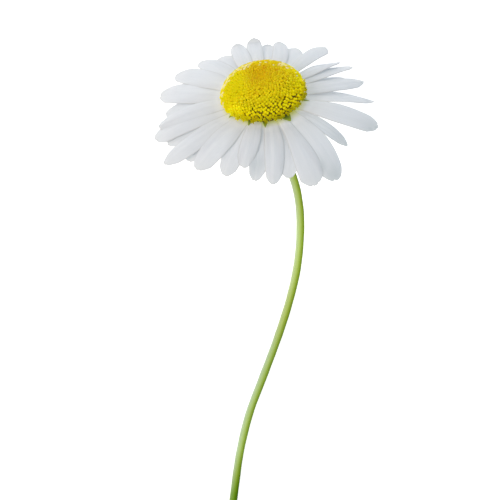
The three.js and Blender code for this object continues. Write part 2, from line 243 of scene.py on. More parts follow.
# Its streaks, and where its skin lies between a bract's root and tip, middle and margin, dark and light
CUP_STREAKS = 24
CUP_ALONG = 0.4
CUP_ACROSS = 0.3
CUP_TONE = 0.5
# Its lip and inner side as (radius, height)
CUP_LIP = [
    (CUP_RADIUS - 0.2, CUP_RIM + 0.35),
    (9.2, CUP_TOP),
    (9.1, -1.75),
    (8.6, -1.35),
    (AXIS_RADIUS, -1.2),
]
# The bracts' grid, and their thickness, which falls off to the edge
BRACT_GRID = (16, 10)
BRACT_THICKNESS = 0.3
BRACT_THINNING = 0.7
BRACT_THINNING_POWER = 6
# How unevenly bracts stand, reach and widen
BRACT_STRAY = 0.08
BRACT_REACHES = (-0.04, 0.03)
BRACT_WIDTHS = (0.92, 1.06)
# A bract's pointed tip, its width at the root and how that grows and falls off, its keel, and its lift
BRACT_POINT = 0.34
BRACT_POINT_POWER = 1.6
BRACT_ROOT = 0.8
BRACT_BELLY = 0.5
BRACT_NARROWING = 0.8
KEEL_HEIGHT = 0.12
KEEL_WIDTH = 0.16
KEEL_FADE = 0.7
BRACT_LIFT = 0.08
BRACT_TIP_LIFT = 0.36
BRACT_LIFT_POWER = 1.5
BRACT_SIDE_DROP = 0.10
# Each row of bracts: how many, where they start and end on the saucer, and their width
BRACT_ROWS = [(12, 0.1, 0.62, 2.7), (16, 0.32, 0.84, 3.0), (20, 0.54, 1.02, 3.1)]
# Green scales between disc and rays: azimuth, outermost radius, width
RIM_SCALES = [(298, 11.7, 2.6), (242, 10.8, 1.4), (265, 11.3, 1.2), (210, 11.0, 1.4), (339.5, 11.8, 0.6)]
RIM_SCALE_LENGTH = 2.6
RIM_SCALE_HEIGHT = -0.1
RIM_SCALE_SLOPE = -0.16
RIM_SCALE_POINT = 0.5
RIM_SCALE_POINT_POWER = 1.5
RIM_SCALE_NARROWING = 0.35
RIM_SCALE_SIDE_DROP = 0.12
# Where the streaks and margins of a scale's material lie on it
RIM_SCALE_ALONG = 0.8
RIM_SCALE_ACROSS = 0.7

# The stem: the route of its underside from the head down to the table and along it, then its section
STEM_ROUTE = [
    (11.0, 18.7, 9.0),
    (12.7, 11.6, 5.9),
    (13.0, 3.9, 3.3),
    (12.2, -4.7, 1.5),
    (10.1, -13.8, 0.4),
    (7.0, -23.4, 0),
    (3.3, -33.3, 0),
    (-0.1, -42.4, 0),
    (-2.5, -52.1, 0),
    (-4.0, -62.5, 0),
    (-5.2, -72.9, 0),
    (-6.0, -80.7, 0),
]
STEM_RADIUS = 1.0
STEM_LIFT = 0.951
STEM_FLARE = 0.35
STEM_FLARE_LENGTH = 3.0
STEM_NECK = 4.0
STEM_SEAT = 0.3
STEM_RINGS = 420
STEM_SIDES = 48
STEM_RIDGES = 8
STEM_RIDGE_DEPTH = 0.022
STEM_TWIST = 0.012
# Swells along the stem as (share of its radius, radians per millimetre, phase)
STEM_SWELLS = [(0.015, 0.45, 0), (0.012, 1.13, 1)]
STEM_CLEARANCE = 0.004
STEM_CUT_SLANT = 35
# Rings of the cut face, and the ring that closes the stem under the head, as shares of its outline
STEM_CUT_SHARES = [0.9, 0.75, 0.5, 0.25, 0.02]
STEM_START_SHARE = 0.02
STEM_STREAKS = 3
# Points on each span of the curve before they are set at even steps
CURVE_STEPS = 60

# The stage, in metres: half the floor's side, how far it lies under the object, how high the camera
# stands, its lens and sensor in millimetres, and how near and far it sees
FLOOR_REACH = 1.5
FLOOR_DROP = 0.00002
CAMERA_HEIGHT = 0.5435
CAMERA_LENS = 150
CAMERA_SENSOR = 36
CAMERA_CLIP = (0.01, 20)
# Lights: name, place, size, power, colour
LIGHTS = [
    ("key", (-0.62, 0.12, 0.70), 0.8, 3.5, (1.0, 0.80, 0.66)),
    ("top", (0.05, -0.20, 0.95), 0.9, 1.2, (1.0, 0.86, 0.62)),
]
SKY_COLOUR = (0.81, 0.905, 1.0, 1)
SKY_STRENGTH = 0.59

random = np.random.default_rng(7)


def rotation(axis, degrees):
    """A turn about the X (0) or Z (2) axis as a 3x3 matrix."""
    c, s = math.cos(math.radians(degrees)), math.sin(math.radians(degrees))
    if axis == 0:
        return np.array([[1, 0, 0], [0, c, -s], [0, s, c]])
    return np.array([[c, -s, 0], [s, c, 0], [0, 0, 1]])


HEAD_MATRIX = rotation(2, HEAD_TURN) @ rotation(0, HEAD_ELEVATION - 90)


def from_head(points):
    """Points in the head's own frame, whose axis is +Z, as points in the CAD frame."""
    return points @ HEAD_MATRIX.T + HEAD_CENTRE


def smooth(x):
    """A soft step from 0 to 1, for x from 0 to 1."""
    x = np.clip(x, 0, 1)
    return x * x * (3 - 2 * x)


def unit(vectors):
    return vectors / np.linalg.norm(vectors, axis=-1, keepdims=True)


# Meshes


def add_piece(name, points, faces, material, node, attributes, sharp=50):
    """Makes a piece that stands for a CAD node. Points are in millimetres; attributes are per point."""
    mesh = bpy.data.meshes.new(name)
    mesh.from_pydata((points * MM).tolist(), [], [list(map(int, f)) for f in faces])
    for key, values in attributes.items():
        layer = mesh.attributes.new(key, "FLOAT", "POINT")
        layer.data.foreach_set("value", np.ascontiguousarray(values, np.float32).ravel())
    mesh.polygons.foreach_set("use_smooth", np.ones(len(mesh.polygons), bool))
    mesh.set_sharp_from_angle(angle=math.radians(sharp))
    mesh.materials.append(material)
    mesh.update()
    piece = bpy.data.objects.new(name, mesh)
    bpy.context.scene.collection.objects.link(piece)
    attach(piece, "root")
    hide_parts(node)


def join(parts):
    """One mesh's points, faces and values from those of several parts."""
    points, faces, values, first = [], [], {}, 0
    for part, part_faces, part_values in parts:
        points.append(part)
        faces += [tuple(first + i for i in face) for face in part_faces]
        first += len(part)
        for key, value in part_values.items():
            values.setdefault(key, []).append(value)
    return np.concatenate(points), faces, {key: np.concatenate(value) for key, value in values.items()}


def grid_faces(rows, columns, closed=False, first=0):
    """Quads over a grid of points, row by row; closed joins the last column to the first one."""
    width = columns if closed else columns + 1
    faces = []
    for i in range(rows):
        for j in range(columns):
            k = (j + 1) % width
            a, b = first + i * width + j, first + i * width + k
            faces.append((a, a + width, b + width, b))
    return faces


def blade(middle, thickness):
    """A closed blade round a grid of middle points: its points and faces, with the upper side first."""
    along = np.gradient(middle, axis=0)
    across = np.gradient(middle, axis=1)
    offset = unit(np.cross(along, across)) * thickness[..., None] / 2
    rows, columns = middle.shape[0] - 1, middle.shape[1] - 1
    points = np.concatenate([(middle + offset).reshape(-1, 3), (middle - offset).reshape(-1, 3)])
    below = (rows + 1) * (columns + 1)
    faces = grid_faces(rows, columns)
    faces += [(d + below, c + below, b + below, a + below) for a, b, c, d in grid_faces(rows, columns)]
    width = columns + 1
    rim = [i * width for i in range(rows)]
    rim += [rows * width + j for j in range(columns)]
    rim += [i * width + columns for i in range(rows, 0, -1)]
    rim += list(range(columns, 0, -1))
    for p, q in zip(rim, rim[1:] + rim[:1]):
        faces.append((p, p + below, q + below, q))
    return points, faces


# Materials


def new_material(name):
    material = bpy.data.materials.new(name)
    material.use_nodes = True
    shader = material.node_tree.nodes["Principled BSDF"]
    return material, material.node_tree, shader


def add_node(tree, kind, settings=None, inputs=None):
    """A node with its settings and its inputs: a value, or another node's output socket."""
    node = tree.nodes.new(kind)
    for key, value in (settings or {}).items():
        setattr(node, key, value)
    for key, value in (inputs or {}).items():
        if isinstance(value, bpy.types.NodeSocket):
            tree.links.new(value, node.inputs[key])
        else:
            node.inputs[key].default_value = value
    return node


def attribute(tree, name):
    return add_node(tree, "ShaderNodeAttribute", {"attribute_name": name}).outputs["Fac"]


def math_node(tree, operation, a, b, offset=0.0):
    inputs = {0: a, 1: b, 2: offset}
    return add_node(tree, "ShaderNodeMath", {"operation": operation}, inputs).outputs[0]


def grey(level):
    return (level, level, level)


def ramp(tree, factor, stops):
    """A colour ramp with (position, colour) stops."""
    node = add_node(tree, "ShaderNodeValToRGB", None, {"Fac": factor})
    elements = node.color_ramp.elements
    while len(elements) < len(stops):
        elements.new(0.5)
    for element, (position, colour) in zip(elements, stops):
        element.position = position
        element.color = (*colour, 1)
    return node.outputs["Color"]


def mix(tree, factor, a, b, blend="MIX"):
    node = add_node(tree, "ShaderNodeMix", {"data_type": "RGBA", "blend_type": blend})
    sockets = {s.identifier: s for s in node.inputs}
    for key, value in (("Factor_Float", factor), ("A_Color", a), ("B_Color", b)):
        if isinstance(value, bpy.types.NodeSocket):
            tree.links.new(value, sockets[key])
        else:
            sockets[key].default_value = value if key == "Factor_Float" else (*value, 1)
    return next(s for s in node.outputs if s.identifier == "Result_Color")


def noise(tree, coordinates, scale, detail, roughness):
    inputs = {"Vector": coordinates, "Scale": scale, "Detail": detail, "Roughness": roughness}
    return add_node(tree, "ShaderNodeTexNoise", None, inputs).outputs["Fac"]


def streaks_along(tree, stretches, scale):
    """Noise drawn out along a piece, over axes that are each an attribute times a factor."""
    axes = [math_node(tree, "MULTIPLY", attribute(tree, name), factor) for name, factor in stretches]
    where = add_node(tree, "ShaderNodeCombineXYZ", None, dict(enumerate(axes))).outputs[0]
    return noise(tree, where, scale, detail=4.0, roughness=0.6)


def bump(tree, shader, height, distance, strength):
    inputs = {"Height": height, "Distance": distance, "Strength": strength}
    node = add_node(tree, "ShaderNodeBump", None, inputs)
    tree.links.new(node.outputs["Normal"], shader.inputs["Normal"])


def ray_material():
    """White blades with fine streaks along them, tinted green-yellow at their roots."""
    material, tree, shader = new_material("ray_white")
    along = attribute(tree, "along")
    # Green-yellow at the root; towards the tip a painted shade makes the blade a little darker, against the
    # floor's light that shines through the tips
    body = ramp(tree, along, [
        (0.0, (0.60, 0.62, 0.12)),
        (0.06, (0.64, 0.67, 0.25)),
        (0.10, (0.665, 0.685, 0.52)),
        (0.15, (0.665, 0.685, 0.70)),
        (0.6, (0.655, 0.685, 0.715)),
        (0.85, (0.64, 0.665, 0.69)),
        (1.0, (0.61, 0.635, 0.65)),
    ])
    streaks = streaks_along(tree, [("across", 7.0), ("along", 1.6), ("tone", 40.0)], 1.6)
    shade = ramp(tree, streaks, [(0.3, (0.95, 0.955, 0.965)), (0.62, (1, 1, 1))])
    colour = mix(tree, 0.8, body, shade, "MULTIPLY")
    # The rim of a blade is a little darker and greyer than the blade
    rim = ramp(tree, attribute(tree, "edge"), [(0.0, (0.82, 0.80, 0.77)), (0.3, (1, 1, 1))])
    colour = mix(tree, 1.0, colour, rim, "MULTIPLY")
    # Dark spots near the tips, and painted shadow where rays lie under their neighbours
    colour = mix(tree, attribute(tree, "stain_and_shadow"), colour, (0.42, 0.47, 0.49))
    tree.links.new(colour, shader.inputs["Base Color"])
    # The blades glow with painted light, most near their roots, which stands for light scattered inside them
    # and lifts their shadows
    tree.links.new(colour, shader.inputs["Emission Color"])
    painted_glow = ramp(tree, along, [(0.08, grey(0.34)), (0.24, grey(0.11))])
    tree.links.new(painted_glow, shader.inputs["Emission Strength"])
    gloss = ramp(tree, streaks, [(0.3, grey(0.46)), (0.7, grey(0.6))])
    tree.links.new(gloss, shader.inputs["Roughness"])
    shader.inputs["Specular IOR Level"].default_value = 0.3
    shader.inputs["Subsurface Weight"].default_value = 0.3
    shader.inputs["Subsurface Radius"].default_value = (1.0, 1.0, 1.0)
    shader.inputs["Subsurface Scale"].default_value = 0.0008
    bump(tree, shader, streaks, distance=0.00004, strength=0.5)
    return material


def floret_material():
    """Yellow florets with painted shade at their feet, orange in the middle of the disc, and pale where
    pollen and painted highlights sit.
    """
    material, tree, shader = new_material("disc_yellow")
    lemon = attribute(tree, "lemon")
    # Painted shade: each floret is dark at its foot, down in the gaps, and full yellow at its tip
    up = ramp(tree, attribute(tree, "height"), [
        (0.0, (0.12, 0.07, 0.001)),
        (0.35, (0.42, 0.29, 0.001)),
        (0.68, (0.86, 0.71, 0.001)),
        (0.9, (0.98, 0.88, 0.004)),
        (1.0, (1.0, 0.93, 0.02)),
    ])
    tint = ramp(tree, attribute(tree, "ring"), [
        (0.0, (0.75, 0.56, 0.7)),
        (0.2, (0.77, 0.59, 0.8)),
        (0.4, (0.79, 0.65, 0.9)),
        (0.6, (0.82, 0.70, 0.9)),
        (0.9, (0.90, 0.87, 0.8)),
        (0.98, (1.0, 0.97, 0.8)),
    ])
    tint = mix(tree, lemon, tint, (0.77, 0.735, 0.7))
    colour = mix(tree, 1.0, up, tint, "MULTIPLY")
    shade = ramp(tree, attribute(tree, "tone"), [
        (0.0, (0.86, 0.82, 0.75)),
        (0.5, grey(1)),
        (1.0, (1.03, 1.04, 1.0)),
    ])
    shade = mix(tree, lemon, shade, (1.0, 1.0, 0.7))
    colour = mix(tree, 1.0, colour, shade, "MULTIPLY")
    # Painted shade on the rim where loose florets turn down, away from the light
    under = ramp(tree, attribute(tree, "under"), [(0.0, grey(1)), (1.0, (0.36, 0.385, 0.3))])
    colour = mix(tree, 1.0, colour, under, "MULTIPLY")
    colour = mix(tree, attribute(tree, "speck"), colour, (0.60, 0.30, 0.004))
    # Pale tips: pollen, and painted highlights on the side towards the light
    colour = mix(tree, attribute(tree, "pollen_and_highlight"), colour, (0.95, 0.88, 0.60))
    tree.links.new(colour, shader.inputs["Base Color"])
    # The florets glow a little with painted light
    tree.links.new(colour, shader.inputs["Emission Color"])
    shader.inputs["Emission Strength"].default_value = 0.08
    place = add_node(tree, "ShaderNodeTexCoord").outputs["Object"]
    grain = noise(tree, place, scale=9000.0, detail=3.0, roughness=0.7)
    gloss = ramp(tree, grain, [(0.3, grey(0.55)), (0.7, grey(0.8))])
    tree.links.new(gloss, shader.inputs["Roughness"])
    shader.inputs["Specular IOR Level"].default_value = 0.06
    shader.inputs["Subsurface Weight"].default_value = 0.5
    shader.inputs["Subsurface Radius"].default_value = (1.0, 0.6, 0.05)
    shader.inputs["Subsurface Scale"].default_value = 0.0005
    bump(tree, shader, grain, distance=0.00003, strength=0.5)
    return material


def core_material():
    """The ground that shows in the gaps between florets, painted dark as their shade, darkest where they
    stand loose.
    """
    material, tree, shader = new_material("disc_ground")
    place = add_node(tree, "ShaderNodeTexCoord").outputs["Object"]
    patches = noise(tree, place, scale=1500.0, detail=3.0, roughness=0.6)
    dark = ramp(tree, patches, [(0.3, (0.08, 0.050, 0.002)), (0.7, (0.20, 0.14, 0.004))])
    light = ramp(tree, patches, [(0.3, (0.30, 0.21, 0.002)), (0.7, (0.46, 0.35, 0.003))])
    colour = mix(tree, attribute(tree, "loose"), light, dark)
    tree.links.new(colour, shader.inputs["Base Color"])
    shader.inputs["Roughness"].default_value = 0.8
    bump(tree, shader, patches, distance=0.0001, strength=0.6)
    return material


def bract_material():
    """Streaked green scales with thin brown margins."""
    material, tree, shader = new_material("bract_green")
    streaks = streaks_along(tree, [("across", 6.0), ("along", 1.5), ("tone", 30.0)], 1.8)
    green = ramp(tree, streaks, [(0.3, (0.085, 0.16, 0.022)), (0.7, (0.19, 0.29, 0.05))])
    edge = math_node(tree, "ABSOLUTE", attribute(tree, "across"), 0.0)
    side = ramp(tree, edge, [(0.0, grey(0)), (0.74, grey(0)), (0.9, grey(1))])
    tip = ramp(tree, attribute(tree, "along"), [(0.86, grey(0)), (0.97, grey(1))])
    margin = mix(tree, 1.0, side, tip, "LIGHTEN")
    brown = ramp(tree, streaks, [(0.3, (0.10, 0.055, 0.02)), (0.7, (0.24, 0.15, 0.06))])
    colour = mix(tree, margin, green, brown)
    # The rim scales are a fresh, lit yellow-green towards their tips; near their roots, under the disc, they
    # keep the darker bract colour as painted shade
    colour = mix(tree, attribute(tree, "fresh_and_lit"), colour, (0.33, 0.42, 0.03))
    tree.links.new(colour, shader.inputs["Base Color"])
    gloss = ramp(tree, streaks, [(0.3, grey(0.5)), (0.7, grey(0.68))])
    tree.links.new(gloss, shader.inputs["Roughness"])
    bump(tree, shader, streaks, distance=0.00008, strength=0.7)
    return material


def stem_material():
    """A light yellow-green stem with ridges, greener towards its cut end, which is pale inside."""
    material, tree, shader = new_material("stem_green")
    along, cut = attribute(tree, "along"), attribute(tree, "cut")
    side = math_node(tree, "MULTIPLY_ADD", attribute(tree, "side"), 0.5, offset=0.5)
    streaks = streaks_along(tree, [("round", 10.0), ("along", 12.0)], 2.0)
    # Painted light and shade: pale along its left side, which faces the light, and deep green along its
    # right one
    body = ramp(tree, side, [
        (0.05, (0.39, 0.49, 0.29)),
        (0.3, (0.41, 0.54, 0.20)),
        (0.5, (0.38, 0.51, 0.13)),
        (0.75, (0.27, 0.39, 0.035)),
        (0.95, (0.13, 0.20, 0.01)),
    ])
    # Greener and deeper in colour towards the cut
    length = ramp(tree, along, [
        (0.21, (1.42, 1.31, 1.32)),
        (0.285, (1.53, 1.48, 1.5)),
        (0.47, (1.34, 1.24, 1.08)),
        (0.55, (1.3, 1.27, 1.5)),
        (0.765, (1.44, 1.42, 1.7)),
        (0.817, (0.92, 1.0, 0.66)),
        (0.86, (0.48, 0.7, 0.2)),
        (1.0, (0.37, 0.62, 0.06)),
    ])
    body = mix(tree, 1.0, body, length, "MULTIPLY")
    # Near the cut the painted light on its left side stays pale, and the painted shade on its right side is
    # still deeper
    contrast = ramp(tree, side, [
        (0.05, (1.45, 1.22, 2.3)),
        (0.3, (1.22, 1.11, 1.7)),
        (0.5, (1.08, 1.04, 0.9)),
        (0.75, (0.93, 0.95, 0.3)),
        (0.95, (0.8, 0.85, 0.1)),
    ])
    near = ramp(tree, along, [(0.78, grey(0)), (0.86, grey(1))])
    body = mix(tree, near, body, mix(tree, 1.0, body, contrast, "MULTIPLY"))
    shade = ramp(tree, streaks, [(0.3, (0.78, 0.84, 0.72)), (0.65, (1.0, 1.0, 1.0))])
    colour = mix(tree, 0.9, body, shade, "MULTIPLY")
    pith = ramp(tree, cut, [
        (0.0, (0.24, 0.33, 0.09)),
        (0.35, (0.42, 0.47, 0.22)),
        (1.0, (0.62, 0.62, 0.42)),
    ])
    inside = math_node(tree, "GREATER_THAN", cut, 0.001)
    colour = mix(tree, inside, colour, pith)
    tree.links.new(colour, shader.inputs["Base Color"])
    shader.inputs["Specular IOR Level"].default_value = 0.03
    gloss = ramp(tree, streaks, [(0.3, grey(0.55)), (0.7, grey(0.72))])
    tree.links.new(gloss, shader.inputs["Roughness"])
    bump(tree, shader, streaks, distance=0.00008, strength=0.6)
    return material


# The rays


def bend_up(points):
    """A blade bends up along the table where it would pass through it."""
    skin = RAY_THICKNESS / 2
    clear = points[..., 2] - skin
    bent = points.copy()
    bent[..., 2] = skin + (clear + np.hypot(clear, TABLE_SOFTNESS)) / 2
    return bent


def ray_middle(ray):
    """A ray's grid of middle points in the CAD frame, which is finer near the blade's edge, with each
    point's share along and across, and its distance from the edge."""
    azimuth, length, width, tier, roll, sweep, belly, taper = ray
    rows, columns = RAY_GRID
    s = 1 - (1 - np.linspace(0, 1, rows + 1)[:, None]) ** RAY_TIP_CROWDING
    t = np.sin(np.linspace(-1, 1, columns + 1) * math.pi / 2)[None, :]

    # Two notches part the tip into three low teeth, and a fold runs back from each notch
    folds = np.array(FOLD_PLACES) + random.uniform(-FOLD_STRAY, FOLD_STRAY, 2)
    depths = random.uniform(0.0, NOTCH_DEPTH, 2)
    notches = sum(d * np.exp(-(((t - f) / NOTCH_WIDTH) ** 2)) for f, d in zip(folds, depths))
    lean = random.uniform(-TIP_LEAN, TIP_LEAN)
    reach = 1.0 - TIP_ROUNDING * np.abs(t) ** TIP_POWER - notches + lean * t
    u = s * reach

    rise = math.radians(RAY_RISE + RAY_RISE_STEP * (tier - 1))
    bend = math.radians(RAY_DROOP) - rise
    slope = rise + bend * u
    out = RAY_ROOT_RADIUS + length * (np.sin(slope) - math.sin(rise)) / bend
    up = RAY_ROOT_HEIGHT + RAY_TIER_STEP * (tier - 1) + length * (math.cos(rise) - np.cos(slope)) / bend
    shoulder = max(RAY_SHOULDER, belly)
    drawn_in = taper * np.maximum(0, (u - shoulder) / (1 - shoulder)) ** 2
    root = RAY_ROOT_SHARE - RAY_ROOT_SLIMMING * belly
    half = width / 2 * (root + (1 - root) * smooth(u / belly)) * (1 - drawn_in)

    # Low relief: the folds, a wave along each edge, and a cross section that arches or hollows
    fade = 1 - FOLD_FADE * smooth((u - FOLD_FADE_FROM) / (1 - FOLD_FADE_FROM))
    fade = fade * smooth(u / FOLD_FULL)
    fold_depths = random.uniform(*FOLD_DEPTHS, 2)
    relief = -sum(d * np.exp(-(((t - f) / FOLD_WIDTH) ** 2)) for f, d in zip(folds, fold_depths)) * fade
    arch = RAY_ARCH + random.uniform(*ARCH_SPREAD)
    relief = relief - (arch * width * u + RAY_EDGE_DROP * tier) * t * t
    for side in (-1, 1):
        waves, phase = random.uniform(*WAVE_COUNTS), random.uniform(0, 2 * math.pi)
        height = random.uniform(*WAVE_HEIGHTS)
        edge = np.maximum(0, side * t) ** 2
        wave = height * np.sin(2 * math.pi * waves * u + phase)
        relief = relief + wave * edge * smooth(u / WAVE_FULL)
    lift = random.uniform(*TIP_LIFTS)
    relief = relief + lift * smooth((u - TIP_LIFT_FROM) / (1 - TIP_LIFT_FROM))

    turn = math.radians(roll) * u
    a = math.radians(azimuth)
    outward = np.array([math.cos(a), math.sin(a), 0])
    sideways = np.array([-math.sin(a), math.cos(a), 0])
    axis = np.array([0, 0, 1.0])
    normal = np.cos(slope)[..., None] * axis - np.sin(slope)[..., None] * outward
    points = out[..., None] * outward + up[..., None] * axis
    points = points + (sweep * u * u + t * half * np.cos(turn))[..., None] * sideways
    points = points + (t * half * np.sin(turn) + relief)[..., None] * normal
    edge = np.minimum((1 - np.abs(t)) * half, (1 - s) * length)
    return bend_up(from_head(points)), u, np.broadcast_to(t, u.shape), edge


def stain_and_shadow_strength(index, along, across):
    """How strongly each point of a ray is darkened by stains and painted shadow, from 0 to 1."""
    length, half = RAYS[index][1], RAYS[index][2] / 2
    strength = np.zeros(along.shape)
    for ray, u, t, reach, power in STAINS_AND_SHADOWS:
        if ray == index:
            away = np.hypot((along - u) * length, (across - t) * half)
            strength = np.maximum(strength, power * np.exp(-((away / reach) ** 2)))
    return strength


def make_rays(material):
    made = []
    for ray in RAYS:
        middle, along, across, edge = ray_middle(ray)
        thinning = RAY_THINNING * np.maximum(np.abs(across), along) ** RAY_THINNING_POWER
        swell = RAY_SWELL * (1 - smooth(along / RAY_SWELL_REACH))
        thickness = RAY_THICKNESS * (1 - thinning) * (1 + swell)
        points, faces = blade(middle, thickness)
        made.append((points, faces, along, across, edge))
    lowest = min(points[:, 2].min() for points, *_ in made)
    for index, (points, faces, along, across, edge) in enumerate(made):
        values = {
            "along": np.tile(along.ravel(), 2),
            "across": np.tile(across.ravel(), 2),
            "edge": np.tile(edge.ravel(), 2),
            "stain_and_shadow": np.tile(stain_and_shadow_strength(index, along, across).ravel(), 2),
            "tone": np.full(len(points), random.uniform(0, 1)),
        }
        points = points - np.array([0, 0, lowest])
        add_piece(f"ray_{index:02d}", points, faces, material, "ray_florets", values)


# The disc


def lathe(profile, sides):
    """Rings of points round the head's axis, one for each (radius, height) of a profile."""
    angles = np.arange(sides) * 2 * math.pi / sides
    rings = [np.stack([r * np.cos(angles), r * np.sin(angles), np.full(sides, h)], -1) for r, h in profile]
    return np.concatenate(rings), grid_faces(len(profile) - 1, sides, closed=True)


def dome_points(share):
    """Points of the dome for shares from its top (0) to its edge (1), in the order of the spiral."""
    lowest = FLORET_LOWEST / DISC_HEIGHT
    z = 1 - (1 - lowest) * share
    radius = np.sqrt(1 - z * z)
    angle = np.arange(len(share)) * GOLDEN_ANGLE
    return np.stack([radius * np.cos(angle), radius * np.sin(angle), z], -1)


def from_dimple(points):
    """How far points are from the dimple's middle, seen along the head's axis."""
    return np.linalg.norm(points[..., :2] - DIMPLE_PLACE, axis=-1)


def dimple(points):
    """Points of the dome, sunk where the dimple is."""
    radius = from_dimple(points)
    sunk = points.copy()
    sunk[..., 2] -= DIMPLE_DEPTH * np.exp(-((radius / DIMPLE_RADIUS) ** 2))
    return sunk


def floret_places():
    """Each floret's tip, its direction, the spacing to its neighbours, and the dome's spiral share."""
    count = FLORET_COUNT
    share = ((np.arange(count) + 0.5) / count) ** FLORET_CROWDING
    direction = dome_points(share)
    size = np.array([DISC_RADIUS, DISC_RADIUS, DISC_HEIGHT])
    tips = dimple(direction * size)
    normal = unit(direction / size)
    # The edge's florets lie flatter than the dome's own surface
    normal = unit(normal + np.array([0, 0, FLORET_UPTURN]))
    away = np.linalg.norm(tips[:, None] - tips[None], axis=-1)
    np.fill_diagonal(away, np.inf)
    spacing = np.sort(away, axis=1)[:, :FLORET_NEIGHBOURS].mean(1)
    return tips, normal, spacing, share


def template(rings, sides):
    """A floret. Each of its rings is (height, radius at a lobe, radius between lobes, lobes' lift)."""
    angles = np.arange(sides) * 2 * math.pi / sides
    lobe = 0.5 + 0.5 * np.cos(FLORET_LOBES * angles)
    points = []
    for height, outer, inner, lift in rings:
        radius = inner + (outer - inner) * lobe
        points.append(np.stack([radius * np.cos(angles), radius * np.sin(angles), height + lift * lobe], -1))
    points = np.concatenate(points)
    tip = len(points)
    height, outer = rings[-1][:2]
    points = np.concatenate([points, [[0, 0, height + FLORET_TIP_SHARE * outer]]])
    faces = [(a, d, c, b) for a, b, c, d in grid_faces(len(rings) - 1, sides, closed=True)]
    last = (len(rings) - 1) * sides
    faces += [(last + j, last + (j + 1) % sides, tip) for j in range(sides)]
    return points, faces


# A closed bud, a floret whose lobes begin to part, and one with spread lobes round the column in its
# middle. Heights are shares of the floret's length from its foot, radii shares of the spacing.
BUD = template([
    (0.0, 0.30, 0.30, 0),
    (0.4, 0.36, 0.34, 0),
    (0.7, 0.45, 0.40, 0),
    (0.86, 0.40, 0.31, 0),
    (0.99, 0.22, 0.12, 0),
], 10)
PARTING = template([
    (0.0, 0.28, 0.28, 0),
    (0.5, 0.34, 0.34, 0),
    (0.74, 0.44, 0.39, 0),
    (0.90, 0.44, 0.33, 0.04),
    (1.0, 0.30, 0.20, 0.05),
    (0.92, 0.14, 0.12, 0),
    (1.02, 0.09, 0.09, 0),
], 10)
SPREAD = template([
    (0.0, 0.24, 0.24, 0),
    (0.45, 0.29, 0.28, 0),
    (0.66, 0.38, 0.35, 0),
    (0.80, 0.50, 0.38, 0.02),
    (0.88, 0.64, 0.36, 0.03),
    (0.89, 0.70, 0.33, -0.02),
    (0.88, 0.48, 0.26, 0.03),
    (0.78, 0.22, 0.20, 0),
    (0.98, 0.19, 0.19, 0),
    (1.08, 0.21, 0.21, 0),
    (1.13, 0.11, 0.11, 0),
], 20)


def speck_strength(points):
    """How strongly points of the disc, in the head's frame, are stained, from 0 to 1."""
    strength = np.zeros(len(points))
    for x, y, reach in SPECKS:
        away = np.linalg.norm(points[:, :2] - np.array([x, y]), axis=1)
        strength = np.maximum(strength, np.exp(-((away / reach) ** 2)))
    return strength


def where_loose(pair, loose):
    """What a pair gives for florets that stand so loosely, from 0 (close) to 1."""
    return pair[0] + pair[1] * loose


def make_florets(name, form, chosen, places, lengths, loose, pollen_and_highlight, material):
    """Places copies of one floret form, and joins them in one mesh."""
    tips, normals, spacing = places
    shape, shape_faces = form
    x, y, z = (shape[:, c, None] for c in range(3))
    h = shape[:, 2]
    parts = []
    for k in chosen:
        tilt = unit(normals[k] + random.normal(0, where_loose(FLORET_LEAN, loose[k]), 3))
        side = unit(np.cross(tilt, FLORET_SIDE_GUIDE))
        other = np.cross(tilt, side)
        spin = random.uniform(0, 2 * math.pi)
        turn, cross = math.cos(spin), math.sin(spin)
        side, other = side * turn + other * cross, other * turn - side * cross
        wide = spacing[k] * where_loose(FLORET_WIDTH, loose[k]) * random.uniform(*FLORET_WIDTHS)
        aside = side * random.normal(0, FLORET_JITTER) + other * random.normal(0, FLORET_JITTER)
        sunk = random.uniform(where_loose(FLORET_SINK, loose[k]), FLORET_OUT)
        foot = tips[k] + aside * spacing[k] - tilt * lengths[k] + normals[k] * sunk
        body = foot + side * x * wide + other * y * wide + tilt * z * lengths[k]
        lemon = smooth((LEMON_EDGE - body[:, 0]) / LEMON_BLEND)
        # Painted shade darkens the florets' feet; where they stand close, little of it shows
        foot_shade = (1 - h) * where_loose(FLORET_FOOT_SHADE, loose[k])
        radius = np.hypot(body[:, 0], body[:, 1])
        parts.append((body, shape_faces, {
            "height": where_loose(FLORET_TOP, loose[k]) - foot_shade,
            "ring": from_dimple(body) / DISC_RADIUS,
            "lemon": lemon * (1 - smooth((LEMON_END - body[:, 1]) / LEMON_END_BLEND)),
            "under": loose[k] * smooth((radius - UNDER_FROM) / UNDER_BLEND),
            "tone": np.full(len(h), random.uniform(0, 1)),
            "pollen_and_highlight": pollen_and_highlight[k] * smooth((h - POLLEN_FROM) / POLLEN_BLEND),
            "speck": SPECK_STRENGTH * speck_strength(body),
        }))
    points, faces, values = join(parts)
    add_piece(name, from_head(points), faces, material, "disc_florets", values, sharp=60)


def looseness(points):
    """How loosely florets stand, from 0 to 1: they part on the side that opened first."""
    angle = np.arctan2(points[:, 1], points[:, 0])
    radius = np.hypot(points[:, 0], points[:, 1])
    side = smooth(LOOSE_LEVEL + LOOSE_SWING * np.cos(angle - math.radians(LOOSE_AZIMUTH)))
    return side * smooth((radius - LOOSE_FROM) / LOOSE_BLEND)


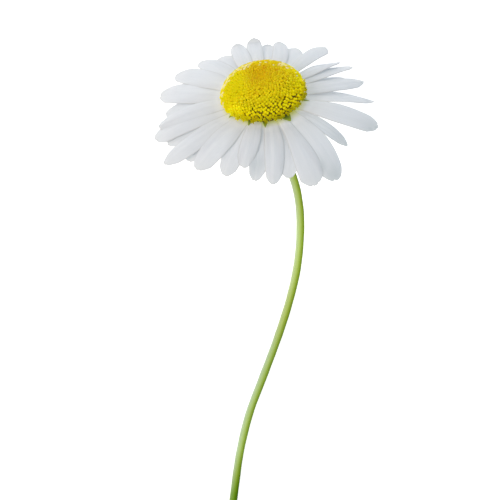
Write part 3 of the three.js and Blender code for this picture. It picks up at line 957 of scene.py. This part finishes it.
def make_disc(floret, ground):
    *places, share = floret_places()
    tips, normals, _ = places
    lengths = FLORET_LENGTH + FLORET_LENGTHENING * smooth(share / FLORET_FULL_SHARE)
    loose = looseness(tips)
    # Pale tips, pollen and painted highlight, stand in a few rows where the dome turns away from above, most
    # of them on its left side, towards the light
    level = (normals @ HEAD_MATRIX.T)[:, 2]
    azimuth = np.degrees(np.arctan2(tips[:, 1], tips[:, 0])) % 360
    chance = np.interp(azimuth, *PALE_CHANCES)
    lowest, highest = PALE_LEVELS
    chance = chance * smooth((level - lowest) / PALE_BLEND) * smooth((highest - level) / PALE_BLEND)
    dusted = random.uniform(0, 1, len(share)) < chance
    pollen_and_highlight = dusted * random.uniform(*PALE_STRENGTHS, len(share))
    opened = share >= OPEN_FROM
    spread = opened & (loose > SPREAD_FROM)
    forms = [
        ("disc_buds", BUD, ~opened),
        ("disc_parting_florets", PARTING, opened & ~spread),
        ("disc_open_florets", SPREAD, spread),
    ]
    for name, form, chosen in forms:
        chosen = np.flatnonzero(chosen)
        make_florets(name, form, chosen, places, lengths, loose, pollen_and_highlight, floret)

    # The ground under the florets, a dome closed underneath
    radius, height = DISC_RADIUS - CORE_DEPTH, DISC_HEIGHT - CORE_DEPTH
    turns = np.linspace(0, math.pi / 2, CORE_STEPS)
    profile = [(AXIS_RADIUS, CORE_FOOT[0][1])] + [(radius * part, h) for part, h in CORE_FOOT]
    profile += [(radius * math.cos(a) + CORE_CROWN, height * math.sin(a) + CORE_LIFT) for a in turns]
    points, faces = lathe(profile, LATHE_SIDES)
    values = {"loose": looseness(points)}
    points = from_head(dimple(points))
    add_piece("disc_ground", points, faces, ground, "disc_florets", values)


# The involucre


def cup_point(v, azimuth, lift):
    """A point of the saucer at a share v from its neck (0) to its rim (1), lifted off its surface."""
    angle = v * math.pi / 2
    spread, depth = CUP_RADIUS - CUP_NECK, CUP_RIM - CUP_BOTTOM
    radius = CUP_NECK + spread * np.sin(angle)
    height = CUP_RIM - depth * np.cos(angle)
    normal = unit(np.stack([depth * np.sin(angle), -spread * np.cos(angle)], -1))
    r = radius + normal[..., 0] * lift
    return np.stack([r * np.cos(azimuth), r * np.sin(azimuth), height + normal[..., 1] * lift], -1)


def scale_grid():
    """Shares along and across the grid of a bract or scale."""
    rows, columns = BRACT_GRID
    return np.linspace(0, 1, rows + 1)[:, None], np.linspace(-1, 1, columns + 1)[None, :]


def scale_part(middle, along, across):
    """A thin scale round a grid of middle points, with what its material needs to know."""
    s, t = scale_grid()
    thinning = BRACT_THINNING * np.maximum(np.abs(t), s) ** BRACT_THINNING_POWER
    points, faces = blade(middle, BRACT_THICKNESS * (1 - thinning))
    return points, faces, {
        "along": np.tile(np.broadcast_to(along, middle.shape[:2]).ravel(), 2),
        "across": np.tile(np.broadcast_to(across, middle.shape[:2]).ravel(), 2),
        "tone": np.full(len(points), random.uniform(0, 1)),
    }


def make_involucre(material):
    outer = cup_point(np.linspace(0, 1, CUP_STEPS), np.zeros(CUP_STEPS), np.zeros(CUP_STEPS))
    profile = [(AXIS_RADIUS, CUP_BOTTOM)] + [(p[0], p[2]) for p in outer] + CUP_LIP
    points, faces = lathe(profile, LATHE_SIDES)
    faces = [(a, d, c, b) for a, b, c, d in faces]
    angle = np.arctan2(points[:, 1], points[:, 0])
    values = {
        "along": np.full(len(points), CUP_ALONG),
        "across": CUP_ACROSS * np.sin(angle * CUP_STREAKS),
        "tone": np.full(len(points), CUP_TONE),
        "fresh_and_lit": np.zeros(len(points)),
    }
    add_piece("involucre_cup", from_head(points), faces, material, "involucre", values)

    s, t = scale_grid()
    for number, (count, start, end, width) in enumerate(BRACT_ROWS):
        parts = []
        for k in range(count):
            stray = random.uniform(-BRACT_STRAY, BRACT_STRAY)
            azimuth = 2 * math.pi * (k + 0.5 * number + stray) / count
            u = s * (1 - BRACT_POINT * np.abs(t) ** BRACT_POINT_POWER + random.uniform(*BRACT_REACHES))
            v = start + (end - start) * u
            half = width / 2 * random.uniform(*BRACT_WIDTHS)
            half = half * (BRACT_ROOT + BRACT_BELLY * u - BRACT_NARROWING * u * u)
            radius = cup_point(v, 0 * v, 0 * v)[..., 0]
            keel = KEEL_HEIGHT * np.exp(-((t / KEEL_WIDTH) ** 2)) * (1 - KEEL_FADE * u)
            lift = BRACT_LIFT + BRACT_TIP_LIFT * u ** BRACT_LIFT_POWER + keel - BRACT_SIDE_DROP * t * t
            middle = cup_point(v, azimuth + t * half / radius, lift)
            parts.append(scale_part(middle, u, t))
        points, faces, values = join(parts)
        values["fresh_and_lit"] = np.zeros(len(points))
        name = f"bracts_{number + 1}"
        add_piece(name, from_head(points), faces, material, "involucre", values)


def make_rim_scales(material):
    """Small pointed green scales that lie on the rays and look out from under the disc."""
    s, t = scale_grid()
    parts = []
    for azimuth, end, width in RIM_SCALES:
        out = s * (1 - RIM_SCALE_POINT * np.abs(t) ** RIM_SCALE_POINT_POWER)
        radius = end - RIM_SCALE_LENGTH * (1 - out)
        half = width / 2 * (1 - RIM_SCALE_NARROWING * s * s)
        angle = math.radians(azimuth) + t * half / radius
        height = RIM_SCALE_HEIGHT + RIM_SCALE_SLOPE * (radius - end + RIM_SCALE_LENGTH)
        height = height - RIM_SCALE_SIDE_DROP * t * t
        middle = np.stack([radius * np.cos(angle), radius * np.sin(angle), height], -1)
        parts.append(scale_part(middle, RIM_SCALE_ALONG * s, RIM_SCALE_ACROSS * t))
    points, faces, values = join(parts)
    # Fresh lit green towards the tip, and painted shade at the root under the disc
    values["fresh_and_lit"] = smooth(values["along"] / RIM_SCALE_ALONG)
    add_piece("rim_scales", from_head(points), faces, material, "involucre", values)


# The stem


def smooth_route(controls, samples):
    """Points at even steps of length on a smooth curve through the controls, and how far along it."""
    controls = np.array(controls, float)
    before, after = 2 * controls[0] - controls[1], 2 * controls[-1] - controls[-2]
    controls = np.concatenate([[before], controls, [after]])
    found = []
    for p0, p1, p2, p3 in zip(controls, controls[1:], controls[2:], controls[3:]):
        k = [0.0]
        for a, b in ((p0, p1), (p1, p2), (p2, p3)):
            k.append(k[-1] + np.linalg.norm(b - a) ** 0.5)
        k0, k1, k2, k3 = k
        t = np.linspace(k1, k2, CURVE_STEPS, endpoint=False)[:, None]
        a1 = (k1 - t) / (k1 - k0) * p0 + (t - k0) / (k1 - k0) * p1
        a2 = (k2 - t) / (k2 - k1) * p1 + (t - k1) / (k2 - k1) * p2
        a3 = (k3 - t) / (k3 - k2) * p2 + (t - k2) / (k3 - k2) * p3
        b1 = (k2 - t) / (k2 - k0) * a1 + (t - k0) / (k2 - k0) * a2
        b2 = (k3 - t) / (k3 - k1) * a2 + (t - k1) / (k3 - k1) * a3
        found.append((k2 - t) / (k2 - k1) * b1 + (t - k1) / (k2 - k1) * b2)
    points = np.concatenate(found + [controls[-2][None]])
    steps = np.concatenate([[0], np.cumsum(np.linalg.norm(np.diff(points, axis=0), axis=1))])
    at = np.linspace(0, steps[-1], samples)
    return np.stack([np.interp(at, steps, points[:, c]) for c in range(3)], -1), at


def make_stem(material):
    bottom = CUP_BOTTOM - STEM_SEAT
    neck = from_head(np.array([[0, 0, bottom], [0, 0, bottom - STEM_NECK]]))
    route = [np.array(p) + PLANT + np.array([0, 0, STEM_LIFT]) for p in STEM_ROUTE]
    middle, at = smooth_route([*neck, *route], STEM_RINGS)
    middle[:, 2] = np.maximum(middle[:, 2], STEM_LIFT)
    ahead = unit(np.gradient(middle, axis=0))
    side = unit(np.cross([0, 0, 1.0], ahead))
    up = np.cross(ahead, side)
    angle = np.arange(STEM_SIDES) * 2 * math.pi / STEM_SIDES
    swell = 1 + STEM_FLARE * np.exp(-at / STEM_FLARE_LENGTH)
    twist = at * STEM_TWIST
    ridge = STEM_RIDGE_DEPTH * np.cos(STEM_RIDGES * angle[None, :] + twist[:, None])
    waver = sum(depth * np.sin(at * pace + phase) for depth, pace, phase in STEM_SWELLS)[:, None]
    radius = STEM_RADIUS * swell[:, None] * (1 + ridge + waver)
    x, y = radius * np.cos(angle), radius * np.sin(angle)
    points = middle[:, None] + side[:, None] * x[..., None] + up[:, None] * y[..., None]
    slant = math.tan(math.radians(STEM_CUT_SLANT))
    points[-1] -= ahead[-1] * (slant * y[-1])[:, None]
    points[..., 2] = np.maximum(points[..., 2], STEM_CLEARANCE)

    # Its start is closed by a small ring, and its cut face by rings that shrink towards its middle
    shares = STEM_CUT_SHARES
    centre = points[-1].mean(0)
    cut_rings = [centre + (points[-1] - centre) * share for share in shares]
    start = points[0].mean(0) + (points[0] - points[0].mean(0)) * STEM_START_SHARE
    everything = np.concatenate([start, points.reshape(-1, 3), *cut_rings])
    rings = 1 + STEM_RINGS + len(shares)
    faces = [(a, d, c, b) for a, b, c, d in grid_faces(rings - 1, STEM_SIDES, closed=True)]
    along = np.concatenate([[0], at / at[-1], np.ones(len(shares))])
    cut = np.concatenate([np.zeros(1 + STEM_RINGS), 1 - np.array(shares)])
    values = {
        "along": np.repeat(along, STEM_SIDES),
        "round": np.tile(np.sin(angle / 2) * STEM_STREAKS, rings),
        # Across the stem from left to right, for its painted light and shade
        "side": np.tile(np.cos(angle), rings),
        "cut": np.repeat(cut, STEM_SIDES),
    }
    add_piece("stem_skin", everything, faces, material, "stem", values, sharp=60)


make_rays(ray_material())
make_disc(floret_material(), core_material())
green = bract_material()
make_involucre(green)
make_rim_scales(green)
make_stem(stem_material())


# The stage: floor, light and camera


def make_floor():
    mesh = bpy.data.meshes.new("floor")
    corners = [(FLOOR_REACH * x, FLOOR_REACH * y, 0) for x, y in ((-1, -1), (1, -1), (1, 1), (-1, 1))]
    mesh.from_pydata(corners, [], [(0, 1, 2, 3)])
    material, _, shader = new_material("floor_white")
    shader.inputs["Base Color"].default_value = (0.85, 0.85, 0.85, 1)
    shader.inputs["Roughness"].default_value = 0.9
    shader.inputs["Specular IOR Level"].default_value = 0.1
    shader.inputs["Emission Color"].default_value = (1, 1, 1, 1)
    shader.inputs["Emission Strength"].default_value = 0.7
    mesh.materials.append(material)
    floor = bpy.data.objects.new("floor", mesh)
    floor.location.z = -FLOOR_DROP
    bpy.context.scene.collection.objects.link(floor)


def add_light(name, position, size, power, colour):
    data = bpy.data.lights.new(name, "AREA")
    data.shape = "DISK"
    data.size = size
    data.energy = power
    data.color = colour
    light = bpy.data.objects.new(name, data)
    bpy.context.scene.collection.objects.link(light)
    light.location = position
    light.rotation_euler = (-light.location).to_track_quat("-Z", "Y").to_euler()


def make_camera():
    data = bpy.data.cameras.new("camera")
    data.lens = CAMERA_LENS
    data.sensor_width = CAMERA_SENSOR
    data.clip_start, data.clip_end = CAMERA_CLIP
    camera = bpy.data.objects.new("camera", data)
    camera.location = (PLANT[0] * MM, PLANT[1] * MM, CAMERA_HEIGHT)
    bpy.context.scene.collection.objects.link(camera)
    bpy.context.scene.camera = camera


def make_world():
    world = bpy.data.worlds.new("studio")
    world.use_nodes = True
    background = world.node_tree.nodes["Background"]
    background.inputs["Color"].default_value = SKY_COLOUR
    background.inputs["Strength"].default_value = SKY_STRENGTH
    bpy.context.scene.world = world
    bpy.context.scene.view_settings.view_transform = "Standard"


make_floor()
for light in LIGHTS:
    add_light(*light)
make_world()
make_camera()
